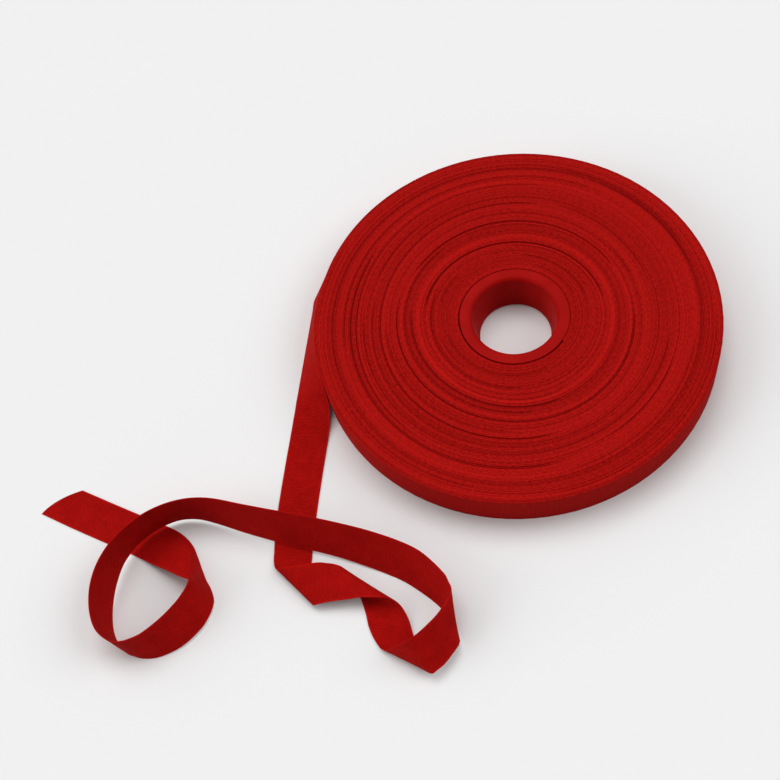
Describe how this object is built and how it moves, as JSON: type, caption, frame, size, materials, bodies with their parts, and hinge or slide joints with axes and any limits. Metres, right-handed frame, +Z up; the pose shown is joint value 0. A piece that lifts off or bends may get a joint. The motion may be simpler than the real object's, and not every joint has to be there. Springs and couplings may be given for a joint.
{
  "type": "ribbon roll",
  "caption": "Roll of narrow red ribbon wound on a plastic core, lying flat, its loose end folding and curling away beside it.",
  "frame": {"origin": "middle of the whole object's footprint, on the surface it lies on", "axes": "+Z up along the roll's axis, +X from the loose end's loops towards the roll, +Y away from the picture's viewer"},
  "size_m": [0.2916, 0.2166, 0.0178],
  "materials": {
    "core": "smooth moulded red plastic, low sheen",
    "ribbon": "fine cross-ribbed woven ribbon with plain selvedges, matt"
  },
  "bodies": {
    "root": {"core": "core", "wound_ribbon": "ribbon", "loose_end": "ribbon"}
  },
  "joints": []
}
